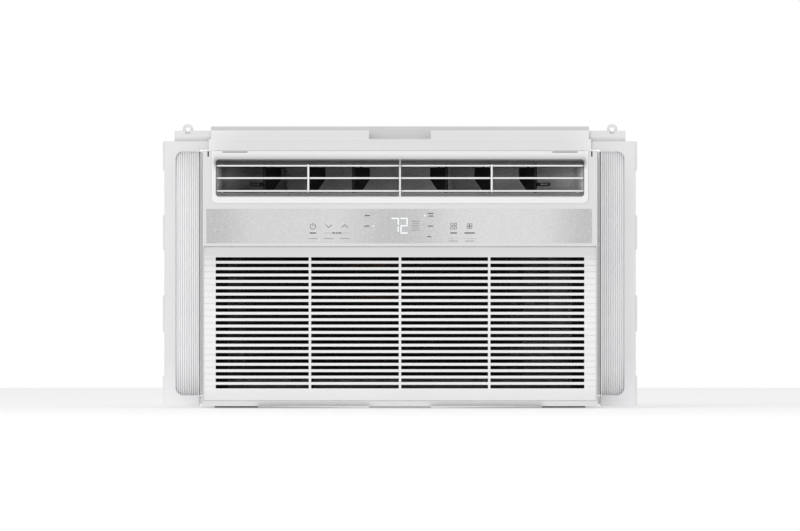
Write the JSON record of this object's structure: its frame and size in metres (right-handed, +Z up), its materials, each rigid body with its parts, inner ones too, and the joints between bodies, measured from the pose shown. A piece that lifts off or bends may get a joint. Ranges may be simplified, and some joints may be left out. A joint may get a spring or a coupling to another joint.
{
  "type": "window air conditioner",
  "caption": "Window air conditioner with top air outlet, silver touch panel, hinged inlet grille, swinging vanes and blades, side curtains and the cooling machinery inside.",
  "frame": {"origin": "centre of the overall box in plan, at the underside of the pads and feet", "axes": "+X to the right seen from the room, +Y from the room towards outdoors, +Z up"},
  "size_m": [0.568, 0.4, 0.3394],
  "materials": {
    "white_plastic": "fine moulded texture",
    "silver_film": "fine metallic fleck, satin",
    "lamp_lens": "clear white, lit",
    "circuit_board": "lacquered board",
    "switch_black": "satin",
    "black_plastic": "satin",
    "white_steel": "powder coat",
    "zinc_steel": "galvanised",
    "strip_white": "satin",
    "bellows_vinyl": "folded vinyl, satin",
    "filter_plastic": "satin",
    "filter_net": "fine net",
    "bright_screw": "zinc plated",
    "dark_rubber": "matte",
    "duct_foam": "moulded foam",
    "fin_aluminium": "thin fins",
    "copper_tube": "copper, lightly tarnished",
    "shroud_plastic": "satin",
    "motor_steel": "plated",
    "wheel_plastic": "satin",
    "compressor_black": "semi gloss enamel",
    "capacitor_can": "drawn can"
  },
  "bodies": {
    "housing": {"accumulator": "compressor_black", "base_pan": "zinc_steel", "bellows_left": "bellows_vinyl", "bellows_right": "bellows_vinyl", "bellows_strips": "strip_white", "blower_scroll": "duct_foam", "bulkhead": "zinc_steel", "cabinet": "white_steel", "capillary_tube": "copper_tube", "compressor": "compressor_black", "compressor_grommets": "dark_rubber", "compressor_nuts": "bright_screw", "condenser_coil": "fin_aluminium", "condenser_tubes": "copper_tube", "control_box": "zinc_steel", "control_panel": "silver_film", "discharge_line": "copper_tube", "display_board": "circuit_board", "display_lamps": "lamp_lens", "drain_plug": "dark_rubber", "evaporator_coil": "fin_aluminium", "evaporator_tubes": "copper_tube", "fan_motor": "motor_steel", "fan_shroud": "shroud_plastic", "front_grille": "white_plastic", "front_pads": "dark_rubber", "key_switches": "switch_black", "lower_guide": "zinc_steel", "main_board": "circuit_board", "outlet_duct": "duct_foam", "rear_feet": "dark_rubber", "run_capacitor": "capacitor_can", "screws": "bright_screw", "suction_line": "copper_tube", "upper_guide": "white_steel"},
    "vane_bottom_body": {"vane_bottom": "white_plastic"},
    "vane_middle_body": {"vane_middle": "white_plastic"},
    "vane_top_body": {"vane_top": "white_plastic"},
    "vane_tie_ribs_body": {"vane_tie_ribs": "white_plastic"},
    "inlet_grille_body": {"inlet_grille": "white_plastic"},
    "curtain_left_body": {"curtain_left": "white_plastic"},
    "curtain_right_body": {"curtain_right": "white_plastic"},
    "blade_left_inner_body": {"blade_left_inner": "black_plastic"},
    "blade_left_middle_body": {"blade_left_middle": "black_plastic"},
    "blade_left_outer_body": {"blade_left_outer": "black_plastic"},
    "blade_right_inner_body": {"blade_right_inner": "black_plastic"},
    "blade_right_middle_body": {"blade_right_middle": "black_plastic"},
    "blade_right_outer_body": {"blade_right_outer": "black_plastic"},
    "blade_link_left_body": {"blade_link_left": "black_plastic"},
    "blade_link_right_body": {"blade_link_right": "black_plastic"},
    "key_power_body": {"key_power": "silver_film"},
    "key_cooler_body": {"key_cooler": "silver_film"},
    "key_warmer_body": {"key_warmer": "silver_film"},
    "key_mode_body": {"key_mode": "silver_film"},
    "key_fan_body": {"key_fan": "silver_film"},
    "filter_body": {"filter_frame": "filter_plastic", "filter_mesh": "filter_net"},
    "fan_body": {"fan_shaft": "motor_steel", "blower_wheel": "wheel_plastic", "condenser_fan": "black_plastic"}
  },
  "joints": [
    {"name": "vane_middle_tilt", "type": "hinge", "parent": "housing", "child": "vane_middle_body", "pos_m": [0, -0.187, 0.2744], "axis": [1, 0, 0], "range_deg": [-20, 20]},
    {"name": "vane_top_tilt", "type": "hinge", "parent": "housing", "child": "vane_top_body", "pos_m": [0, -0.187, 0.2892], "axis": [1, 0, 0], "range_deg": [-20, 20]},
    {"name": "vane_bottom_tilt", "type": "hinge", "parent": "housing", "child": "vane_bottom_body", "pos_m": [0, -0.187, 0.259], "axis": [1, 0, 0], "range_deg": [-20, 20]},
    {"name": "vane_ribs_follow", "type": "hinge", "parent": "vane_middle_body", "child": "vane_tie_ribs_body", "pos_m": [0, -0.1925, 0.2744], "axis": [1, 0, 0], "range_deg": [-20, 20]},
    {"name": "blade_left_outer_swing", "type": "hinge", "parent": "housing", "child": "blade_left_outer_body", "pos_m": [-0.1618, -0.168, 0.2735], "axis": [0, 0, 1], "range_deg": [0, 78]},
    {"name": "blade_left_middle_swing", "type": "hinge", "parent": "housing", "child": "blade_left_middle_body", "pos_m": [-0.1087, -0.168, 0.2735], "axis": [0, 0, 1], "range_deg": [0, 78]},
    {"name": "blade_left_inner_swing", "type": "hinge", "parent": "housing", "child": "blade_left_inner_body", "pos_m": [-0.0555, -0.168, 0.2735], "axis": [0, 0, 1], "range_deg": [0, 78]},
    {"name": "blade_link_left_follow", "type": "hinge", "parent": "blade_left_outer_body", "child": "blade_link_left_body", "pos_m": [-0.15299, -0.15712, 0.289], "axis": [0, 0, 1], "range_deg": [-78, 0]},
    {"name": "blade_right_outer_swing", "type": "hinge", "parent": "housing", "child": "blade_right_outer_body", "pos_m": [0.1618, -0.168, 0.2735], "axis": [0, 0, -1], "range_deg": [0, 78]},
    {"name": "blade_right_middle_swing", "type": "hinge", "parent": "housing", "child": "blade_right_middle_body", "pos_m": [0.1087, -0.168, 0.2735], "axis": [0, 0, -1], "range_deg": [0, 78]},
    {"name": "blade_right_inner_swing", "type": "hinge", "parent": "housing", "child": "blade_right_inner_body", "pos_m": [0.0555, -0.168, 0.2735], "axis": [0, 0, -1], "range_deg": [0, 78]},
    {"name": "blade_link_right_follow", "type": "hinge", "parent": "blade_right_outer_body", "child": "blade_link_right_body", "pos_m": [0.15299, -0.15712, 0.289], "axis": [0, 0, -1], "range_deg": [-78, 0]},
    {"name": "curtain_left_slide", "type": "slide", "parent": "housing", "child": "curtain_left_body", "axis": [-1, 0, 0], "range_m": [0, 0.16], "deforming": ["bellows_left"]},
    {"name": "curtain_right_slide", "type": "slide", "parent": "housing", "child": "curtain_right_body", "axis": [1, 0, 0], "range_m": [0, 0.16], "deforming": ["bellows_right"]},
    {"name": "inlet_grille_lift", "type": "hinge", "parent": "housing", "child": "inlet_grille_body", "pos_m": [0, -0.196, 0.1903], "axis": [-1, 0, 0], "range_deg": [0, 75]},
    {"name": "filter_pull", "type": "slide", "parent": "housing", "child": "filter_body", "axis": [0, 0, -1], "range_m": [0, 0.185]},
    {"name": "key_power_press", "type": "slide", "parent": "housing", "child": "key_power_body", "axis": [0, 1, 0], "range_m": [0, 0.0005], "stiffness_N_per_m": 1500},
    {"name": "key_cooler_press", "type": "slide", "parent": "housing", "child": "key_cooler_body", "axis": [0, 1, 0], "range_m": [0, 0.0005], "stiffness_N_per_m": 1500},
    {"name": "key_warmer_press", "type": "slide", "parent": "housing", "child": "key_warmer_body", "axis": [0, 1, 0], "range_m": [0, 0.0005], "stiffness_N_per_m": 1500},
    {"name": "key_mode_press", "type": "slide", "parent": "housing", "child": "key_mode_body", "axis": [0, 1, 0], "range_m": [0, 0.0005], "stiffness_N_per_m": 1500},
    {"name": "key_fan_press", "type": "slide", "parent": "housing", "child": "key_fan_body", "axis": [0, 1, 0], "range_m": [0, 0.0005], "stiffness_N_per_m": 1500},
    {"name": "fan_spin", "type": "hinge", "parent": "housing", "child": "fan_body", "pos_m": [-0.04, 0.017, 0.14], "axis": [0, 1, 0], "continuous": true}
  ],
  "couplings": [
    {"joint": "vane_top_tilt", "follows": "vane_middle_tilt", "ratio": 1},
    {"joint": "vane_bottom_tilt", "follows": "vane_middle_tilt", "ratio": 1},
    {"joint": "vane_ribs_follow", "follows": "vane_middle_tilt", "ratio": -1},
    {"joint": "blade_left_middle_swing", "follows": "blade_left_outer_swing", "ratio": 1},
    {"joint": "blade_left_inner_swing", "follows": "blade_left_outer_swing", "ratio": 1},
    {"joint": "blade_link_left_follow", "follows": "blade_left_outer_swing", "ratio": -1},
    {"joint": "blade_right_middle_swing", "follows": "blade_right_outer_swing", "ratio": 1},
    {"joint": "blade_right_inner_swing", "follows": "blade_right_outer_swing", "ratio": 1},
    {"joint": "blade_link_right_follow", "follows": "blade_right_outer_swing", "ratio": -1}
  ]
}
